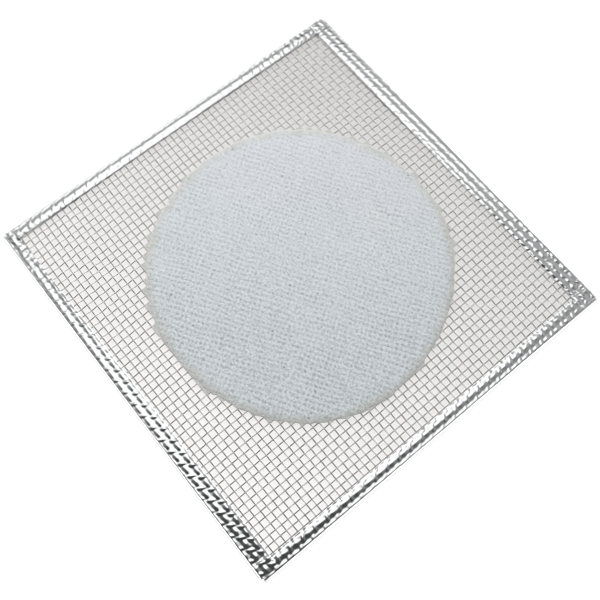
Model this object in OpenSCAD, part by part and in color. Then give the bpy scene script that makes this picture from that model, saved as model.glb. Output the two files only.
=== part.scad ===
// Square wire gauze: a plain-woven iron wire mesh with a round ceramic centre,
// bound along its four sides by strips of folded tinplate.
// It lies flat. The origin is under the middle of the square, on the plane that it
// rests on, with +Z up, and the sides run along X and Y.

/* [Gauze] */
// Length of each side of the square, over the folds of the strips
side = 125; // [90:1:200]

/* [Wire mesh] */
// Diameter of the wire
wire_d = 0.32; // [0.2:0.01:0.6]
// Distance from one wire to the next
wire_pitch = 2.13; // [1.8:0.01:4]
// Meshes that one gap in the wall spans
gap_meshes = 3; // [2:1:6]
// Flat lip between a gap and the ridge of the wire beside it
gap_lip = 0.06; // [0.03:0.01:0.2]

/* [Ceramic disc] */
// Mean diameter of the disc
disc_d = 91.2; // [40:0.2:100]
// Thickness of the disc, through both of its faces
disc_t = 1.8; // [1.8:0.1:4]
// Width and height of the step that thins the rim, above and below
rim_step = 0.5; // [0.2:0.1:0.8]
// How far the edge, spread by hand, wanders in and out
edge_wander = 0.3; // [0:0.05:0.6]
// How far the disc sits off centre, towards +X
disc_off_x = 1.1; // [-3:0.1:3]
// How far the disc sits off centre, towards +Y
disc_off_y = -0.8; // [-3:0.1:3]

/* [Edge strips] */
// Width of the left strip on each face of the gauze
left_w = 4.9; // [3.5:0.1:8]
// Width of the right strip
right_w = 5.8; // [3.5:0.1:8]
// Width of the back strip
back_w = 3.9; // [3.5:0.1:8]
// Width of the front strip
front_w = 4.3; // [3.5:0.1:8]
// Thickness of the tinplate
tin_t = 0.2; // [0.1:0.01:0.3]
// Height of the bumps that the wires press into the tinplate
bump_h = 0.12; // [0.05:0.01:0.15]
// Width of the groove between the two rows of bumps
groove_w = 0.5; // [0.2:0.1:1]
// How far the ends of the side strips stop short of the front and back edges
end_short = 1; // [0:0.1:2]
// What is clipped off each outer corner of the side strips
corner_clip = 0.8; // [0.4:0.1:1.5]
// How much further out a side strip stands where it laps over another
lap_bulge = 0.06; // [0.04:0.01:0.12]
// Space left around what is folded into a strip
fold_gap = 0.06; // [0.02:0.01:0.2]

/* [Hidden] */
$fn = 90;

fold_fn = 20;                        // facets of a fold, all the way round
far = 4;                             // beyond any face, for a clean cut
mesh_t = 2 * wire_d;                 // one wire over the other
fold_r = mesh_t / 2 + tin_t;         // outside of a fold around the mesh
corner_fold_r = fold_r + tin_t;      // and around the mesh and another strip
mid_z = max(disc_t / 2, corner_fold_r + bump_h);
mesh_half = side / 2 - lap_bulge - fold_r - fold_gap;
tuck_half = side / 2 - corner_fold_r - fold_gap;
wire_half_n = floor((mesh_half - wire_d / 2) / wire_pitch + 0.5);

// Gaps, with bars one mesh wide between them. A wire stands out along each edge of
// a bar, and the disc hides the middle of the wall, which has no gaps.
gap_step = (gap_meshes + 1) * wire_pitch;
gap_side = gap_meshes * wire_pitch - wire_d - 2 * gap_lip;
gap_half_n = floor((wire_half_n - 1) / (gap_meshes + 1));
gap_at = [for (i = [-gap_half_n : gap_half_n - 1]) (i + 0.5) * gap_step];
gap_shows = disc_d / 2 + wire_pitch / 2;  // how far out a gap's far corner lies
ridge_at = [for (bar = [-gap_half_n : gap_half_n], edge = [-1, 1])
    bar * gap_step + edge * wire_pitch / 2];

// Half section of the mesh: a web with the crowns of the wires standing on it
module mesh_profile(reach) {
    crown = wire_d / 4;
    polygon(concat(
        [[-mesh_half, -reach], [-mesh_half, wire_d / 2]],
        [for (at = ridge_at, p = [[-wire_d / 2, wire_d / 2], [-crown, mesh_t / 2],
            [crown, mesh_t / 2], [wire_d / 2, wire_d / 2]]) [at + p[0], p[1]]],
        [[mesh_half, wire_d / 2], [mesh_half, -reach]]));
}

module mesh_gaps() {
    for (x = gap_at, y = gap_at)
        if (norm([abs(x - disc_off_x) + gap_side / 2, abs(y - disc_off_y) + gap_side / 2]) > gap_shows)
            translate([x, y]) square(gap_side, center = true);
}

// Woven wire as one wall: the wires that run along X stand out above it,
// and those that run along Y below it
module woven_wall() {
    difference() {
        intersection() {
            rotate([90, 0, 90])
                linear_extrude(2 * mesh_half + far, center = true) mesh_profile(far);
            rotate([-90, 0, 0])
                linear_extrude(2 * mesh_half + far, center = true) mesh_profile(far);
        }
        linear_extrude(2 * mesh_t, center = true) mesh_gaps();
    }
}

module wire_mesh() {
    color("DimGray") translate([0, 0, mid_z]) woven_wall();
}

// The edge of the ceramic is not quite a circle
module disc_outline(inset) {
    polygon([for (a = [0 : 5 : 355])
        (disc_d / 2 - inset + edge_wander * (cos(2 * a - 55) + cos(3 * a) + cos(4 * a + 100)))
            * [cos(a), sin(a)]]);
}

// Ceramic pressed through the mesh from both faces, and gripping it
module ceramic_disc() {
    color("AliceBlue") translate([0, 0, mid_z]) difference() {
        translate([disc_off_x, disc_off_y, 0]) {
            linear_extrude(disc_t, center = true) disc_outline(rim_step);
            linear_extrude(disc_t - 2 * rim_step, center = true) disc_outline(0);
        }
        woven_wall();
    }
}

// A fold's outline, round on its outer side: x runs inwards from the outer edge
module fold_outline(r, inset, reach) {
    translate([inset + r, 0]) circle(r, $fn = fold_fn);
    translate([inset + r, -r]) square([reach - inset - r, 2 * r]);
}

// Section of a strip: what is inside one outline and outside the other
module fold_profile(width, outer_r, inner_r, outer_inset = 0, inner_inset = tin_t) {
    difference() {
        fold_outline(outer_r, outer_inset, width);
        fold_outline(inner_r, inner_inset, width + far);
    }
}

// Runs a section along Y from low to high
module run(low, high) {
    translate([0, low, 0]) rotate([-90, 0, 0]) linear_extrude(high - low) children();
}

// One row of bumps along a strip, a bump to each spacing that fits between low and high
module bump_row(from, width, spacing, low, high) {
    valley = bump_h / 4;
    first = ceil(low / spacing);
    last = floor(high / spacing);
    translate([from, 0, 0]) rotate([90, 0, 90]) linear_extrude(width)
        polygon(concat([[first * spacing, -tin_t / 2], [first * spacing, valley]],
            [for (i = [first : last - 1], p = [[0.5, bump_h], [1, valley]])
                [(i + p[0]) * spacing, p[1]]],
            [[last * spacing, -tin_t / 2]]));
}

// Above, two rows with a bump over every wire. Below, the bumps run right across.
module bumps(width, low, high) {
    outer_row = corner_fold_r;
    row_w = (width - outer_row - groove_w - tin_t) / 2;
    translate([0, 0, fold_r]) for (row = [outer_row, outer_row + row_w + groove_w])
        bump_row(row, row_w, wire_pitch, low, high);
    mirror([0, 0, 1]) translate([0, 0, fold_r])
        bump_row(outer_row, 2 * row_w + groove_w, 2 * wire_pitch, low, high);
}

// Front and back strips: one straight fold whose ends tuck into the side strips
module tucked_strip(width, low_w, high_w) {
    run(-tuck_half, tuck_half) fold_profile(width, fold_r, mesh_t / 2);
    bumps(width, low_w + fold_gap - side / 2, side / 2 - fold_gap - high_w);
}

// The end of a side strip, folded around the end of the strip that it laps over,
// with a step in its leaves where the lap starts
module lapped_end(width, start) {
    tip = side / 2 - end_short;
    difference() {
        union() {
            run(start - tin_t, start)
                fold_profile(width, corner_fold_r, mesh_t / 2, 0, lap_bulge + tin_t);
            run(start, tip) fold_profile(width, corner_fold_r, fold_r);
        }
        translate([0, tip, 0]) rotate(45)
            cube([corner_clip * sqrt(2), corner_clip * sqrt(2), far], center = true);
    }
}

// Side strips: folded around the mesh, and around the strips tucked in at both ends
module lapped_strip(width, low_w, high_w) {
    low_lap = side / 2 - low_w - fold_gap;
    high_lap = side / 2 - high_w - fold_gap;
    run(tin_t - low_lap, high_lap - tin_t)
        fold_profile(width, fold_r, mesh_t / 2, lap_bulge, lap_bulge + tin_t);
    bumps(width, tin_t - low_lap, high_lap - tin_t);
    lapped_end(width, high_lap);
    mirror([0, 1, 0]) lapped_end(width, low_lap);
}

// Sets a strip that was drawn along Y on the side that faces the given way round
module on_side(turn) {
    color("Silver") rotate(turn) translate([-side / 2, 0, mid_z]) children();
}

module left_strip() { on_side(0) lapped_strip(left_w, front_w, back_w); }
module right_strip() { on_side(180) lapped_strip(right_w, back_w, front_w); }
module back_strip() { on_side(-90) tucked_strip(back_w, left_w, right_w); }
module front_strip() { on_side(90) tucked_strip(front_w, right_w, left_w); }

wire_mesh();
ceramic_disc();
left_strip();
right_strip();
back_strip();
front_strip();
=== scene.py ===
import math

import bmesh
import bpy
import numpy as np
from mathutils import Matrix, Vector


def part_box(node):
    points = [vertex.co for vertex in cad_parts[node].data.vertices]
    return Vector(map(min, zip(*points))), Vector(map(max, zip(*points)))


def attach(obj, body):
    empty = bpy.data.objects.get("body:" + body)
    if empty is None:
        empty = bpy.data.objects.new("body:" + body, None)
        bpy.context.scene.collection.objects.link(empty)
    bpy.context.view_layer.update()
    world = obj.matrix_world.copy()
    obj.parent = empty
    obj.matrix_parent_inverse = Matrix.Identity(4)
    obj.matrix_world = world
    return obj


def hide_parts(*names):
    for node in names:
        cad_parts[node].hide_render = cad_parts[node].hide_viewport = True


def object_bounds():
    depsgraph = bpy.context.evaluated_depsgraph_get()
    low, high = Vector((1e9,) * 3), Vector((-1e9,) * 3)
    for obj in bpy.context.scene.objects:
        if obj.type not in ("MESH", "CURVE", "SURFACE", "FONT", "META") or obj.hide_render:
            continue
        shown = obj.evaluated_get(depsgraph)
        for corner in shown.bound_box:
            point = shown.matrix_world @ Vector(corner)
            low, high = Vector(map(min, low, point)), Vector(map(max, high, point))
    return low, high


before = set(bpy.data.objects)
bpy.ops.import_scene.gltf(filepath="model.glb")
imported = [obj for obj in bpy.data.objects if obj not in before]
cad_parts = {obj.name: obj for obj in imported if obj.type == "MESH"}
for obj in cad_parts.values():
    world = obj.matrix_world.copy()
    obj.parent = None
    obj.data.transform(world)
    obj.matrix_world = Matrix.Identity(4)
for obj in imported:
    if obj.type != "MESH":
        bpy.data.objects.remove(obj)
cadLow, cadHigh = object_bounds()
meshLow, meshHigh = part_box("wire_mesh")
midZ = (meshLow.z + meshHigh.z) / 2
halfSide = (cadHigh.x - cadLow.x) / 2
mm = 0.001
print("frame loaded, side", round(2 * halfSide / mm, 2), "mm")


# Shader maths: sockets that can be added and multiplied

class Value:
    def __init__(self, tree, socket):
        self.tree, self.socket = tree, socket

    def __add__(self, other): return self.tree.maths("ADD", self, other)
    def __sub__(self, other): return self.tree.maths("SUBTRACT", self, other)
    def __rsub__(self, other): return self.tree.maths("SUBTRACT", other, self)
    def __mul__(self, other): return self.tree.maths("MULTIPLY", self, other)
    __radd__, __rmul__ = __add__, __mul__


class NodeTree:
    def __init__(self, owner):
        owner.use_nodes = True
        self.owner, self.nodes, self.links = owner, owner.node_tree.nodes, owner.node_tree.links
        self.nodes.clear()

    def node(self, kind, settings={}, values={}, output=0):
        made = self.nodes.new(kind)
        for name, value in settings.items():
            if name == "stops":                      # a ramp's stops: (place, grey or colour)
                for spare in range(len(value) - 2):
                    made.color_ramp.elements.new(0.5)
                for stop, (place, tone) in zip(made.color_ramp.elements, value):
                    stop.position = place
                    stop.color = (tone, tone, tone, 1) if isinstance(tone, (int, float)) else (*tone, 1)
            else:
                setattr(made, name, value)
        for name, value in values.items():
            if isinstance(value, Value):
                self.links.new(value.socket, made.inputs[name])
            else:
                made.inputs[name].default_value = value
        return Value(self, made.outputs[output] if made.outputs else None)

    def maths(self, operation, *values):
        return self.node("ShaderNodeMath", {"operation": operation}, dict(enumerate(values)))

    def place(self):
        return self.node("ShaderNodeTexCoord", output="Object")

    def axis(self, vector, name):
        return self.node("ShaderNodeSeparateXYZ", {}, {0: vector}, name)

    def seenDirectly(self):
        return self.node("ShaderNodeLightPath", output="Is Camera Ray")

    def noise(self, scale, detail=2.0, roughness=0.5):
        return self.node("ShaderNodeTexNoise", {}, {"Vector": self.place(), "Scale": scale,
                                                    "Detail": detail, "Roughness": roughness}, "Fac")

    def ramp(self, value, stops):
        return self.node("ShaderNodeValToRGB", {"stops": stops}, {"Fac": value}, "Color")

    def mix(self, factor, first, second):
        return self.node("ShaderNodeMix", {"data_type": "RGBA"}, {0: factor, 6: first, 7: second}, 2)


def newFinish(name):
    return NodeTree(bpy.data.materials.new(name))


def surfaceOf(tree, **values):
    shader = tree.node("ShaderNodeBsdfPrincipled", {}, {k.replace("_", " "): v for k, v in values.items()})
    tree.node("ShaderNodeOutputMaterial", {}, {"Surface": shader})
    return tree.owner


# Meshes

def addPiece(name, bm, finish, *nodes, slot=None, smooth=True):
    mesh = bpy.data.meshes.new(name)
    bm.to_mesh(mesh)
    bm.free()
    piece = bpy.data.objects.new(name, mesh)
    bpy.context.scene.collection.objects.link(piece)
    mesh.materials.append(finish)
    mesh.polygons.foreach_set("use_smooth", [smooth] * len(mesh.polygons))
    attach(piece, "root")
    if nodes:
        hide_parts(*nodes)
    return piece


def readPoints(mesh):
    points = np.empty(len(mesh.vertices) * 3)
    mesh.vertices.foreach_get("co", points)
    return points.reshape(-1, 3)


def writePoints(mesh, points):
    mesh.vertices.foreach_set("co", points.ravel())
    mesh.update()


def smoothStep(value, low, high):
    t = np.clip((value - low) / (high - low), 0, 1)
    return t * t * (3 - 2 * t)


def patches(x, y, size, seed):                       # smooth random heights from -1 to 1
    cells, origin = 256, (4096.3, 4096.7)
    table = np.random.default_rng(seed).uniform(-1, 1, (cells, cells))
    u, v = x / size + origin[0], y / size + origin[1]
    i, j = np.floor(u).astype(int), np.floor(v).astype(int)
    u, v = u - i, v - j
    u, v = u * u * (3 - 2 * u), v * v * (3 - 2 * v)
    near, far = table[i % cells, j % cells], table[(i + 1) % cells, j % cells]
    nearUp, farUp = table[i % cells, (j + 1) % cells], table[(i + 1) % cells, (j + 1) % cells]
    return (near * (1 - u) + far * u) * (1 - v) + (nearUp * (1 - u) + farUp * u) * v


# Woven wires

weave = {
    "pitch": 2.13 * mm, "radius": 0.16 * mm, "count": 58,
    "crimp": 0.18 * mm,                              # how far the wires rise and dip
    "sides": 6, "steps": 4,                          # round the wire, and along each pitch
    "stray": 0.03,                                   # how far one wire lies off its place, in pitches
    "inset": 0.6 * mm,                               # the wires stop this far inside the square
}
pitch = weave["pitch"]


def wireShift(x, y):                                 # how far the weave is pulled off its square grid
    x, y = x / halfSide, y / halfSide                # the sums below are in pitches
    shiftX = (-0.03 + x * (0.26 + 0.05 * x - 0.04 * y - 0.07 * x * x - 0.35 * y * y)
              - y * (0.28 - 0.2 * y + 0.19 * x * x - 0.26 * y * y))
    shiftY = (0.09 + x * (0.02 + 0.05 * x - 0.11 * y + 0.19 * x * x - 0.05 * y * y)
              + y * (0.25 + 0.03 * y - 0.29 * x * x - 0.46 * y * y))
    return shiftX * pitch, shiftY * pitch


def wireStray(seed):
    return np.random.default_rng(seed).uniform(-1, 1, weave["count"]) * weave["stray"] * pitch


def weaveWires(name, seed, alongX, finish):
    bm = bmesh.new()
    length = weave["count"] * pitch
    bmesh.ops.create_cone(bm, cap_ends=True, cap_tris=False, segments=weave["sides"], depth=length,
                          radius1=weave["radius"], radius2=weave["radius"],
                          matrix=Matrix.Rotation(math.pi / 2, 4, "Y"))
    longEdges = [e for e in bm.edges if abs(e.verts[0].co.x - e.verts[1].co.x) > length / 2]
    bmesh.ops.subdivide_edges(bm, edges=longEdges, cuts=weave["count"] * weave["steps"] - 1)
    bmesh.ops.translate(bm, verts=bm.verts, vec=(0, (0.5 - weave["count"] / 2) * pitch, midZ))
    single = list(bm.verts) + list(bm.edges) + list(bm.faces)
    for row in range(1, weave["count"]):
        copied = bmesh.ops.duplicate(bm, geom=single)["geom"]
        bmesh.ops.translate(bm, verts=[g for g in copied if isinstance(g, bmesh.types.BMVert)],
                            vec=(0, row * pitch, 0))
    if not alongX:
        bmesh.ops.rotate(bm, verts=bm.verts, matrix=Matrix.Rotation(math.pi / 2, 3, "Z"))
    piece = addPiece(name, bm, finish, slot="iron_wire")
    points = readPoints(piece.data)
    x, y = points[:, 0].copy(), points[:, 1].copy()
    along, across = (x, y) if alongX else (y, x)
    row = np.clip(np.round(across / pitch - 0.5 + weave["count"] / 2).astype(int), 0, weave["count"] - 1)
    # the crimp: over one wire and under the next, and the other way in the rows beside it
    over = np.where(row % 2 == 1, 1.0, -1.0) * (1 if alongX else -1)
    turn = math.pi * (along / pitch - 0.5 + weave["count"] / 2)
    points[:, 2] += over * weave["crimp"] * np.cos(turn)
    shiftX, shiftY = wireShift(x, y)
    stray = wireStray(seed)[row]
    points[:, 0] += shiftX + (0 if alongX else stray)
    points[:, 1] += shiftY + (stray if alongX else 0)
    edge = halfSide - weave["inset"]
    points[:, :2] = np.clip(points[:, :2], -edge, edge)
    writePoints(piece.data, points)
    return piece


iron = newFinish("iron wire")
worn = iron.ramp(iron.noise(300, 3), [(0.3, (0.54, 0.525, 0.515)), (0.7, (0.68, 0.665, 0.655))])
ironWire = surfaceOf(iron, Base_Color=worn, Metallic=1.0, Roughness=0.2)

weft = weaveWires("weftWires", 11, True, ironWire)
warp = weaveWires("warpWires", 12, False, ironWire)
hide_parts("wire_mesh")
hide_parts("wire_mesh")
print("wires woven")


# Tin strips. Each is drawn along Y with its outer edge at x = 0, then turned to its side.

strip = {
    "thick": 0.2 * mm, "foldGap": 0.06 * mm,
    # sizes of the faces: along the strip, and across it above, below and on its inner skin
    "along": 0.16 * mm, "across": 0.15 * mm, "underside": 0.4 * mm, "inside": 1.5 * mm,
    "foldSteps": (10, 4),                            # faces round the outside and the inside of the fold
    # the bumps that the wires press up, whose ridges are measured in pitches
    "relief": 0.105 * mm, "sink": 0.03 * mm, "ridge": 0.27, "reach": 0.42, "saddle": 0.25,
    "crossRidge": 0.24, "slant": 0.4, "chance": 0.25, "chanceSpread": 0.15,
    "fade": (0.35, 1.5),                             # and how they fade in over the fold, in its radii
    # the inner edge is pressed down, less so over a wire
    "lip": 0.9 * mm, "lipDrop": 0.13 * mm, "lipGive": 0.25, "lipDents": 0.035 * mm,
    "dents": 0.009 * mm, "wander": 0.05 * mm,
    "crumpled": (0.4, 0.95),                         # where crumples set in, in parts of the half length
    # where a side strip laps over another
    "lapRise": 0.2 * mm, "lapRun": 1.2 * mm, "lapPast": 0.1 * mm, "lapBulge": 0.06 * mm,
    "endShort": 1 * mm,
}

# each strip's own values at its low and at its high end: width, lap over another strip, radius
# of the outer corner, and how much the tin is crumpled
strips = {
    "leftStrip": {"node": "left_strip", "turn": 0,
                  "widths": (5.9 * mm, 3.9 * mm), "laps": (4.3 * mm, 3.9 * mm),
                  "corners": (1 * mm, 0.4 * mm), "crumples": (0.008 * mm, 0.035 * mm)},
    "rightStrip": {"node": "right_strip", "turn": 180,
                   "widths": (5.7 * mm, 5.9 * mm), "laps": (3.9 * mm, 4.3 * mm),
                   "corners": (2.2 * mm, 0.8 * mm), "crumples": (0.01 * mm, 0.06 * mm)},
    "backStrip": {"node": "back_strip", "turn": -90,
                  "widths": (3.9 * mm, 3.9 * mm), "laps": (0, 0),
                  "corners": (0, 0), "crumples": (0.02 * mm, 0.05 * mm)},
    "frontStrip": {"node": "front_strip", "turn": 90,
                   "widths": (4.3 * mm, 4.3 * mm), "laps": (0, 0),
                   "corners": (0, 0), "crumples": (0.012 * mm, 0.01 * mm)},
}

foldRadius = 2 * weave["radius"] + strip["thick"]
innerRadius = foldRadius - strip["thick"]


def pressedWeave(x, y, runsAlongX):                  # the weave as thin tin takes it up, from 0 to 1
    shiftX, shiftY = wireShift(x, y)
    u, v = (x - shiftX) / pitch - 0.5, (y - shiftY) / pitch - 0.5
    i, j = np.round(u).astype(int), np.round(v).astype(int)
    a, b = u - i, v - j
    over = np.where((i + j) % 2 == 1, 1.0, -1.0)     # 1 where the wire along X is on top
    if not runsAlongX:                               # a is along the strip and b across it
        a, b, over = b, -a, -over
    cells = 64
    chance = np.random.default_rng(21).uniform(-1, 1, (cells, cells))[i % cells, j % cells]
    # one ridge follows each wire along the strip, and one crosses it over each top wire
    alongGap = np.where(over > 0, np.abs(a), 1 - np.abs(a))
    acrossGap = np.where(over > 0, b - np.sign(b), b)
    crest = strip["saddle"] + (1 - strip["saddle"]) * np.exp(-(alongGap / strip["reach"]) ** 2)
    main = crest * np.exp(-(b / strip["ridge"]) ** 2)
    slant = a - strip["slant"] * acrossGap
    cross = np.exp(-(slant / strip["crossRidge"]) ** 2 - (acrossGap / strip["reach"]) ** 2)
    height = (main ** 3 + cross ** 3) ** (1 / 3)
    return height * (1 + strip["chance"] * chance * np.exp(-(a * a + b * b) / strip["chanceSpread"]))


def tinRelief(x, y, above, runsAlongX, lip, lift):   # how far the tin stands out from a flat sheet
    press = np.where(above, pressedWeave(x, y, runsAlongX), pressedWeave(x + pitch, y, runsAlongX))
    height = strip["relief"] * press - strip["sink"]
    height -= strip["lipDrop"] * lip * (1 - strip["lipGive"] * press) * (1 - lift)
    height += strip["dents"] * (patches(x, y, 1.6 * mm, 31) + 0.6 * patches(x, y, 0.7 * mm, 32))
    return height + strip["lipDents"] * lip * patches(x, y, 0.5 * mm, 35)


def foldSheet(width, tip, centre):                   # a sheet folded round an axis along Y at x = centre
    bm = bmesh.new()
    skins = zip((foldRadius, innerRadius), strip["foldSteps"], (strip["across"], strip["inside"]))
    for radius, steps, spacing in skins:
        start = bm.verts.new((centre, -tip, radius))
        bmesh.ops.spin(bm, geom=[start], cent=(centre, -tip, 0), axis=(0, 1, 0), angle=-math.pi,
                       steps=steps, use_duplicate=False)
        for face, gap in ((1, spacing), (-1, max(spacing, strip["underside"]))):
            root = Vector((centre, -tip, face * radius))
            end = min(bm.verts, key=lambda v: (v.co - root).length)
            leaf = bmesh.ops.extrude_vert_indiv(bm, verts=[end])
            leaf["verts"][0].co.x = width
            bmesh.ops.subdivide_edges(bm, edges=leaf["edges"], cuts=round((width - centre) / gap))
    bmesh.ops.remove_doubles(bm, verts=bm.verts, dist=0.001 * mm)
    for face in (1, -1):
        ends = [v for v in bm.verts if len(v.link_edges) == 1 and v.co.z * face > 0]
        bmesh.ops.contextual_create(bm, geom=ends)
    swept = bmesh.ops.extrude_edge_only(bm, edges=list(bm.edges))["geom"]
    bmesh.ops.translate(bm, verts=[g for g in swept if isinstance(g, bmesh.types.BMVert)],
                        vec=(0, 2 * tip, 0))
    for end in (-tip, tip):
        bmesh.ops.contextual_create(bm, geom=[e for e in bm.edges
                                              if all(abs(v.co.y - end) < 1e-7 for v in e.verts)])
    longEdges = [e for e in bm.edges if abs(e.verts[0].co.y - e.verts[1].co.y) > tip]
    bmesh.ops.subdivide_edges(bm, edges=longEdges, cuts=round(2 * tip / strip["along"]) - 1,
                              use_grid_fill=True)
    bmesh.ops.recalc_face_normals(bm, faces=bm.faces)
    return bm


def foldStrip(name, side, finish):
    widthLow, widthHigh = side["widths"]
    laps, turn = side["laps"], side["turn"]
    width = (widthLow + widthHigh) / 2
    bulge = strip["lapBulge"] if laps[0] else 0
    tip = halfSide - (strip["endShort"] if laps[0] else foldRadius + strip["thick"] + strip["foldGap"])
    centre = bulge + foldRadius
    piece = addPiece(name, foldSheet(width, tip, centre), finish, side["node"], slot="tinplate")
    points = readPoints(piece.data)
    # v runs inwards from the outer edge, and u along the strip
    v, u, z = points[:, 0].copy(), points[:, 1].copy(), points[:, 2].copy()

    # the width tapers, and the ends step up where they lap over another strip
    lift = np.zeros(len(v))
    for end, lap in zip((-1, 1), laps):
        if lap:
            start = halfSide - lap
            lift = np.maximum(lift, smoothStep(end * u, start - strip["lapRun"], start + strip["lapPast"]))
    onLeaf = v > centre - 1e-6
    outerSkin = np.where(onLeaf, np.abs(z), np.hypot(v - centre, z)) > foldRadius - strip["thick"] / 2
    grow = strip["lapRise"] * lift
    edge = bulge * (1 - lift)
    widthHere = widthLow + (widthHigh - widthLow) * (u / tip + 1) / 2
    for end, radius in zip((-1, 1), side["corners"]):    # the outer corners are rounded off
        if radius:
            cutBack = radius - np.sqrt(np.maximum(0, radius ** 2 - np.clip(radius - v, 0, radius) ** 2))
            near = np.clip((u * end - tip) / (3 * radius) + 1, 0, 1)
            u = u - end * cutBack * near
    share = np.clip((v - centre) / (width - centre), 0, 1)
    leafFrom = edge + foldRadius + grow
    skin = np.where(outerSkin, foldRadius, innerRadius)
    bigger = (skin + grow) / skin
    newV = np.where(onLeaf, leafFrom + share * (widthHere - leafFrom), leafFrom + (v - centre) * bigger)
    newZ = z * bigger

    toSide = np.array(Matrix.Rotation(math.radians(turn), 3, "Z"))
    world = np.stack([newV - halfSide, u, newZ], 1) @ toSide.T
    x, y = world[:, 0], world[:, 1]
    upper = np.where(z > 0, 1.0, -1.0)
    # the relief fades out over the fold, and the inner skin takes it up only at the lip
    leafMask = smoothStep(newV, *(part * foldRadius for part in strip["fade"]))
    leafMask = leafMask * np.where(outerSkin, 1, smoothStep(share, 0.99, 1))
    lip = 1 - smoothStep(widthHere - newV, 0, strip["lip"])
    height = tinRelief(x, y, z > 0, abs(turn) == 90, lip, lift)
    for end, crumple in zip((-1, 1), side["crumples"]):
        height += crumple * smoothStep(end * u / tip, *strip["crumpled"]) * patches(x, y, 0.8 * mm, 34)
    newZ = newZ + upper * height * leafMask
    # the fold wanders in and out a little
    wander = strip["wander"] * patches(u, u * 0, 2.1 * mm, 133 + turn)
    newV = newV + (1 - leafMask) * wander * (share < 0.01)
    world = np.stack([newV - halfSide, u, newZ], 1) @ toSide.T
    world[:, 2] += midZ
    writePoints(piece.data, world)
    print(name, len(piece.data.polygons), "faces")


tin = newFinish("bright tin")
tinplate = surfaceOf(tin, Base_Color=(0.86, 0.87, 0.875, 1), Metallic=1.0,
                     Roughness=tin.ramp(tin.noise(900, 4, 0.6), [(0.3, 0.08), (0.75, 0.16)]))

for name, side in strips.items():
    foldStrip(name, side, tinplate)
print("strips folded")


# Ceramic disc: paste spread on both faces through a cloth, whose threads left a grid of dimples

disc = {
    "centre": (1.1 * mm, -0.8 * mm), "radius": 45.6 * mm,
    "wander": 0.3 * mm,                              # how far the edge, spread by hand, runs in and out
    "cloth": (1.47 * mm, 1.33 * mm), "clothTurn": 32.6,
    "clothPull": 0.3,                                # how far its threads wander, in threads
    "steps": 5,                                      # faces to each thread of the cloth
    "dimple": 0.14 * mm, "swell": 0.04 * mm,
    "markStrength": 0.62, "markFade": 0.35,          # the marks grow weaker towards the far side
    "underShift": 31 * mm,                           # sets the marks below apart from those above
    "rim": 2 * mm,                                   # the rounded rim: how wide it is, and its steps
    "rimSteps": ((0.3, 0.03 * mm), (0.25, 0.08 * mm), (0.2, 0.13 * mm),
                 (0.17, 0.2 * mm), (0.03, 0.4 * mm)),  # outwards, in parts of its width, and down
    "ragged": 0.3 * mm,
    "filled": 0.8 * mm, "filledDents": 0.04 * mm,    # paste that fills meshes round the rim
    "filledRing": (0.12, 2.5),                       # how far inside the edge they lie, in pitches
}
discLow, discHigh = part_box("ceramic_disc")


def discEdge(angle):
    waves = (np.cos(2 * angle - math.radians(55)) + np.cos(3 * angle)
             + np.cos(4 * angle + math.radians(100)))
    return disc["radius"] + disc["wander"] * waves


def raggedEdge(angle):                               # the same with the small ins and outs of the paste
    along = np.asarray(angle) * disc["radius"]
    return discEdge(angle) + disc["ragged"] * (patches(along, along * 0, 2.3 * mm, 51)
                                               + 0.6 * patches(along, along * 0, 1 * mm, 52))


def clothMarks(x, y):                                # depth of the cloth's dimples, from 0 to 1
    turn = math.radians(disc["clothTurn"])
    s, t = x * math.cos(turn) + y * math.sin(turn), y * math.cos(turn) - x * math.sin(turn)
    s = s / disc["cloth"][0] + disc["clothPull"] * patches(x, y, 8 * mm, 41)
    t = t / disc["cloth"][1] + disc["clothPull"] * patches(x, y, 8 * mm, 42)
    s, t = s + 0.1 * patches(x, y, 1.7 * mm, 46), t + 0.22 * patches(x, y, 1.7 * mm, 47)
    rows, dots = 0.5 + 0.5 * np.cos(2 * math.pi * s), 0.5 + 0.5 * np.cos(2 * math.pi * t)
    marks = rows ** 1.5 * (0.2 + 0.8 * dots)
    far = (x + y) / (2 * disc["radius"])             # from -1 on the near side to 1 on the far side
    strength = disc["markStrength"] - disc["markFade"] * far + 0.12 * patches(x, y, 7 * mm, 43)
    return marks * np.clip(strength, 0.1, 1.1) * (0.9 + 0.15 * patches(x, y, 1.2 * mm, 44)
                                                  + 0.6 * patches(x, y, 0.5 * mm, 48))


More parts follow.
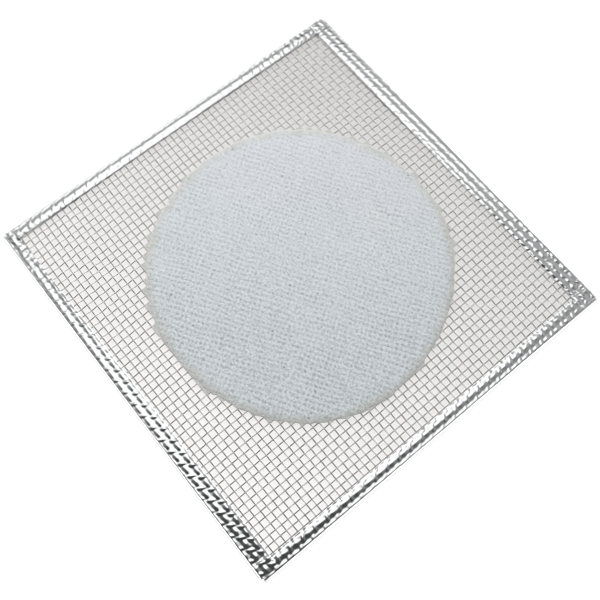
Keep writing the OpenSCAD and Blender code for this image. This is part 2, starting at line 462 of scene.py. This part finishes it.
def spreadPaste(name, side, finish):                 # side is 1 for the upper face and -1 for the lower
    centre, rim = disc["centre"], disc["rim"]
    cellX, cellY = (spacing / disc["steps"] for spacing in disc["cloth"])
    cells = math.ceil(2 * (disc["radius"] + 1 * mm) / min(cellX, cellY))
    bm = bmesh.new()
    bmesh.ops.create_grid(bm, x_segments=cells, y_segments=cells, size=0.5)
    bmesh.ops.scale(bm, verts=bm.verts, vec=(cells * cellX, cells * cellY, 1))
    bmesh.ops.rotate(bm, verts=bm.verts, matrix=Matrix.Rotation(math.radians(disc["clothTurn"]), 3, "Z"))
    outside = [v for v in bm.verts if v.co.length > discEdge(math.atan2(v.co.y, v.co.x)) - rim]
    bmesh.ops.delete(bm, geom=outside, context="VERTS")
    frill = [v for v in bm.verts if len(v.link_faces) < 2]
    bmesh.ops.delete(bm, geom=frill, context="VERTS")
    for v in bm.verts:
        if v.is_boundary:
            v.co *= (raggedEdge(math.atan2(v.co.y, v.co.x)) - rim) / v.co.length
    for out, down in disc["rimSteps"]:
        border = [e for e in bm.edges if e.is_boundary]
        grown = bmesh.ops.extrude_edge_only(bm, edges=border)["geom"]
        for v in grown:
            if isinstance(v, bmesh.types.BMVert):
                v.co += Vector((v.co.x, v.co.y, 0)).normalized() * out * rim - Vector((0, 0, down))
    border = [e for e in bm.edges if e.is_boundary]
    bmesh.ops.contextual_create(bm, geom=border)
    bmesh.ops.recalc_face_normals(bm, faces=bm.faces)
    piece = addPiece(name, bm, finish, "ceramic_disc", slot="ceramic")
    points = readPoints(piece.data)
    x, y = points[:, 0] + centre[0], points[:, 1] + centre[1]
    flat = smoothStep(points[:, 2], -0.7 * mm, -0.05 * mm)
    inside = discEdge(np.arctan2(points[:, 1], points[:, 0])) - np.hypot(points[:, 0], points[:, 1])
    marks = clothMarks(x if side > 0 else disc["underShift"] - x, y)
    height = disc["swell"] * (patches(x, y, 12 * mm, 45) - 1) * 0.5 - disc["dimple"] * marks
    points[:, 2] += height * flat
    points[:, 0], points[:, 1] = x, y
    points[:, 2] = (discHigh.z if side > 0 else discLow.z) + side * points[:, 2]
    if side < 0:
        piece.data.flip_normals()
    writePoints(piece.data, points)
    for label, amount in (("dimple", marks * flat), ("inside", inside / mm)):
        piece.data.attributes.new(label, "FLOAT", "POINT").data.foreach_set("value", amount)


def fillMeshes(name, finish):                        # paste fills the meshes round the rim
    meshes = weave["count"] - 1
    nearest, furthest = (share * pitch for share in disc["filledRing"])
    bm = bmesh.new()
    bmesh.ops.create_grid(bm, x_segments=meshes, y_segments=meshes, size=0.5)
    bmesh.ops.scale(bm, verts=bm.verts, vec=(meshes * pitch, meshes * pitch, 1))
    empty = []
    for face in bm.faces:
        spot = face.calc_center_median() - Vector((*disc["centre"], 0))
        room = raggedEdge(math.atan2(spot.y, spot.x)) - spot.length
        if room < nearest or room > furthest:
            empty.append(face)
    bmesh.ops.delete(bm, geom=empty, context="FACES")
    bmesh.ops.subdivide_edges(bm, edges=bm.edges, cuts=2, use_grid_fill=True)
    bmesh.ops.solidify(bm, geom=bm.faces, thickness=disc["filled"])
    bmesh.ops.recalc_face_normals(bm, faces=bm.faces)
    piece = addPiece(name, bm, finish, "ceramic_disc", slot="ceramic", smooth=False)
    points = readPoints(piece.data)
    x, y = points[:, 0].copy(), points[:, 1].copy()
    shiftX, shiftY = wireShift(x, y)
    points[:, 0], points[:, 1] = x + shiftX, y + shiftY
    points[:, 2] += midZ - points[:, 2].mean() + disc["filledDents"] * patches(x, y, 0.8 * mm, 53)
    writePoints(piece.data, points)
    for label in ("dimple", "inside"):
        piece.data.attributes.new(label, "FLOAT", "POINT")


ceramic = newFinish("ceramic paste")
dimple = ceramic.node("ShaderNodeAttribute", {"attribute_name": "dimple"}, output="Fac")
inside = ceramic.node("ShaderNodeAttribute", {"attribute_name": "inside"}, output="Fac")
cloud = ceramic.mix(ceramic.ramp(ceramic.noise(55, 4, 0.6), [(0.35, 0), (0.7, 1)]),
                    (0.665, 0.71, 0.735, 1), (0.695, 0.735, 0.76, 1))
place = ceramic.place()
far = (ceramic.axis(place, "X") + ceramic.axis(place, "Y")) * (1 / (2 * disc["radius"]))
cloud = ceramic.mix(ceramic.ramp(far, [(0.1, 0), (0.9, 0.8)]), cloud, (0.72, 0.72, 0.755, 1))
edgeMask = ceramic.ramp(inside * 0.2 + 0.7 * (ceramic.noise(260, 3) - 0.5), [(0.1, 0.9), (0.6, 0)])
rimmed = ceramic.mix(edgeMask, cloud, (0.59, 0.588, 0.545, 1))
# painted shade: the cloth's dimples are painted darker, standing in for the shade that falls in them
paintedDimpleShade = ceramic.mix(ceramic.ramp(dimple, [(0.05, 0), (0.75, 0.95)]), rimmed, (0.36, 0.40, 0.415, 1))
# sandy grains, stronger towards the front left
sandy = 1 - 0.45 * far
grain = (ceramic.noise(3200, 2, 0.6) - 0.5) * sandy * 2.4 + 0.5
darkened = ceramic.mix(ceramic.ramp(grain, [(0.1, 0.75), (0.5, 0)]), paintedDimpleShade, (0.35, 0.38, 0.40, 1))
grains = ceramic.mix(ceramic.ramp(grain, [(0.5, 0), (0.9, 0.35)]), darkened, (0.95, 0.97, 1, 1))
# a few dark flecks
flecks = ceramic.node("ShaderNodeTexVoronoi", {"voronoi_dimensions": "2D"},
                      {"Vector": place, "Scale": 100}, "Distance")
flecks = flecks + (ceramic.noise(150, 1) - 0.5) * 0.08
skin = ceramic.mix(ceramic.ramp(flecks, [(0.01, 0.7), (0.024, 0)]), grains, (0.1, 0.12, 0.12, 1))
rough = ceramic.node("ShaderNodeBump", {}, {"Strength": 0.4, "Distance": 0.05 * mm,
                                            "Height": ceramic.noise(1800, 4, 0.6)})
ceramicPaste = surfaceOf(ceramic, Base_Color=skin, Roughness=0.9, Specular_IOR_Level=0.3, Normal=rough)

fillMeshes("rimCeramic", ceramicPaste)
spreadPaste("upperCeramic", 1, ceramicPaste)
spreadPaste("lowerCeramic", -1, ceramicPaste)
print("ceramic spread")


# Floor, light and camera

studio = {
    "floorRadius": 3,
    "windowAt": (0.19, 0.26, 0.947), "windowTone": 1.2,  # the bright patch that the tin mirrors
    "lampAt": (0.08, 0.26, 0.27), "lampSize": 0.32, "lampPower": 0.93,
    "darkAt": (-0.15, -0.17, 0.974),                     # the viewer, and the room behind
    "paperTone": 3.5,                                    # white paper that stands round the gauze
}

bm = bmesh.new()
bmesh.ops.create_circle(bm, cap_ends=True, segments=64, radius=studio["floorRadius"])
floorMesh = bpy.data.meshes.new("floor")
bm.to_mesh(floorMesh)
bm.free()
floor = bpy.data.objects.new("floor", floorMesh)
bpy.context.scene.collection.objects.link(floor)

# the paper glows for the camera alone, so that it shows white with soft shadows; under the
# gauze its glow is greyer, more so towards the back right, a painted shade of the gauze
paper = newFinish("white paper")
seen = paper.seenDirectly()
shade = paper.mix(seen, (0.5, 0.5, 0.5, 1), (0.26, 0.26, 0.26, 1))
x, y = paper.axis(paper.place(), "X"), paper.axis(paper.place(), "Y")
outward = paper.maths("MAXIMUM", paper.maths("ABSOLUTE", x), paper.maths("ABSOLUTE", y)) * (1 / halfSide)
# painted shade: the gauze's shade on the paper, painted into its glow, deeper towards the back right
paintedGauzeShade = paper.ramp(0.5 + (x * 2 + y) * (1 / (6 * halfSide)), [(0.0, (0.85, 0.822, 0.82)),
                                                               (1.0, (0.485, 0.472, 0.468))])
white = paper.mix(paper.ramp(outward, [(0.95, 0.0), (0.96, 1.0)]), paintedGauzeShade, (0.86, 0.86, 0.86, 1))
glow = paper.mix(seen, (0, 0, 0, 1), white)
floorMesh.materials.append(surfaceOf(paper, Base_Color=shade, Roughness=1.0, Emission_Color=glow,
                                     Emission_Strength=1.0, Specular_IOR_Level=0.0))

world = bpy.data.worlds.new("studio")
bpy.context.scene.world = world
sky = NodeTree(world)
toward = sky.node("ShaderNodeTexCoord", output="Generated")


def nearness(direction):                             # cosine of the angle from a direction
    return sky.node("ShaderNodeVectorMath", {"operation": "DOT_PRODUCT"},
                    {0: toward, 1: tuple(Vector(direction).normalized())}, "Value")


window = sky.ramp(nearness(studio["windowAt"]), [(0.95, 0.0), (0.972, 1.0)])
around = sky.ramp(nearness(studio["darkAt"]), [(0.55, 0.44), (0.75, 0.4), (0.83, 0.28),
                                               (0.9, 0.22), (0.97, 0.06)])
low = sky.ramp(nearness((0, 0, 1)), [(0.58, 1.0), (0.68, 0.0)])
# sheets of white paper stand low down, before and behind the gauze and at both sides of it
papers = [sky.ramp(0.5 + 0.5 * sky.axis(toward, axis),
                   [(0.44, 0.0), (0.5, 1.0), (0.725, 1.0), (0.785, 0.0)]) for axis in ("X", "Y")]
standing = sky.ramp(0.5 + 0.5 * nearness((0, 0, 1)),
                    [(0.5, 0.0), (0.501, 1.0), (0.675, 1.0), (0.725, 0.0)])
walls = sky.ramp(nearness((1, 1, 0)), [(0.0, 0.5), (0.5, 0.03)])
horizon = walls + studio["paperTone"] * standing * sky.maths("MAXIMUM", *papers)
beyond = sky.mix(low, around, horizon)
light = sky.mix(window, beyond, (studio["windowTone"],) * 3 + (1,))
light = sky.mix(sky.seenDirectly(), light, (1, 1, 1, 1))    # the camera itself sees plain white
sky.node("ShaderNodeOutputWorld", {}, {"Surface": sky.node("ShaderNodeBackground", {}, {"Color": light})})

lampData = bpy.data.lights.new("window light", "AREA")
lampData.energy, lampData.size = studio["lampPower"], studio["lampSize"]
lamp = bpy.data.objects.new("window light", lampData)
lamp.location = studio["lampAt"]
lamp.rotation_euler = lamp.location.to_track_quat("Z", "Y").to_euler()
lamp.visible_glossy = False                          # the window itself is in the world
bpy.context.scene.collection.objects.link(lamp)

camera = {"spot": (-59.5 * mm, -56.5 * mm, 222.4 * mm), "azimuth": 38.6, "down": 71.6, "lens": 48,
          "shift": (0.07, -0.0138)}
lens = bpy.data.cameras.new("camera")
lens.lens, lens.sensor_width = camera["lens"], 36
lens.shift_x, lens.shift_y = camera["shift"]
lens.clip_start = 0.01
viewer = bpy.data.objects.new("camera", lens)
viewer.location = camera["spot"]
viewer.rotation_euler = (math.radians(90 - camera["down"]), 0, math.radians(-camera["azimuth"]))
bpy.context.scene.collection.objects.link(viewer)
bpy.context.scene.camera = viewer
bpy.context.scene.view_settings.view_transform = "Standard"
bpy.context.scene.cycles.filter_width = 1.1

print("finished")
